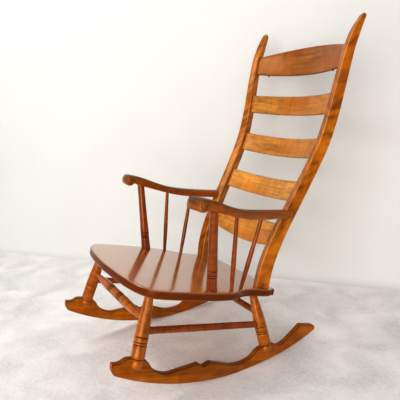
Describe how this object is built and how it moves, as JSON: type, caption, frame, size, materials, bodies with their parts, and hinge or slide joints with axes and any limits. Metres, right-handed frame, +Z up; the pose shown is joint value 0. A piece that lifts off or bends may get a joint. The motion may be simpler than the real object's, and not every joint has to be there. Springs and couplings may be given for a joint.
{
  "type": "ladder-back rocking chair",
  "caption": "Wooden ladder-back rocking chair with a plank seat, bowed back slats, scrolled arms on turned posts and spindles, and sawn rockers.",
  "frame": {"origin": "on the floor under the middle of the chair's box, with the empty chair at rest on its rockers", "axes": "+Z up, -Y the way the sitter faces, +X towards the sitter's left"},
  "size_m": [0.572, 0.9296, 1.0921],
  "materials": {
    "seat_maple": "glossy varnish over red-brown stained maple",
    "frame_maple": "satin varnish over amber-brown stained maple",
    "slat_maple": "satin varnish over honey-brown stained maple",
    "rocker_maple": "satin varnish over dark amber stained maple",
    "dowel_maple": "varnished end grain",
    "dark_steel": "darkened steel"
  },
  "bodies": {
    "root": {"seat": "seat_maple", "rocker_left": "rocker_maple", "rocker_right": "rocker_maple", "front_leg_left": "frame_maple", "front_leg_right": "frame_maple", "rear_leg_left": "frame_maple", "rear_leg_right": "frame_maple", "front_stretcher": "frame_maple", "rear_stretcher": "frame_maple", "side_stretcher_left": "frame_maple", "side_stretcher_right": "frame_maple", "back_post_left": "frame_maple", "back_post_right": "frame_maple", "bottom_slat": "slat_maple", "lower_slat": "slat_maple", "middle_slat": "slat_maple", "upper_slat": "slat_maple", "crest_slat": "slat_maple", "arm_left": "frame_maple", "arm_right": "frame_maple", "arm_post_left": "frame_maple", "arm_post_right": "frame_maple", "front_spindle_left": "frame_maple", "front_spindle_right": "frame_maple", "rear_spindle_left": "frame_maple", "rear_spindle_right": "frame_maple", "crest_hook_left": "dark_steel", "crest_hook_right": "dark_steel", "arm_screw_left": "dark_steel", "arm_screw_right": "dark_steel", "rocker_pin_front_left": "dowel_maple", "rocker_pin_front_right": "dowel_maple", "rocker_pin_rear_left": "dowel_maple", "rocker_pin_rear_right": "dowel_maple"}
  },
  "joints": []
}
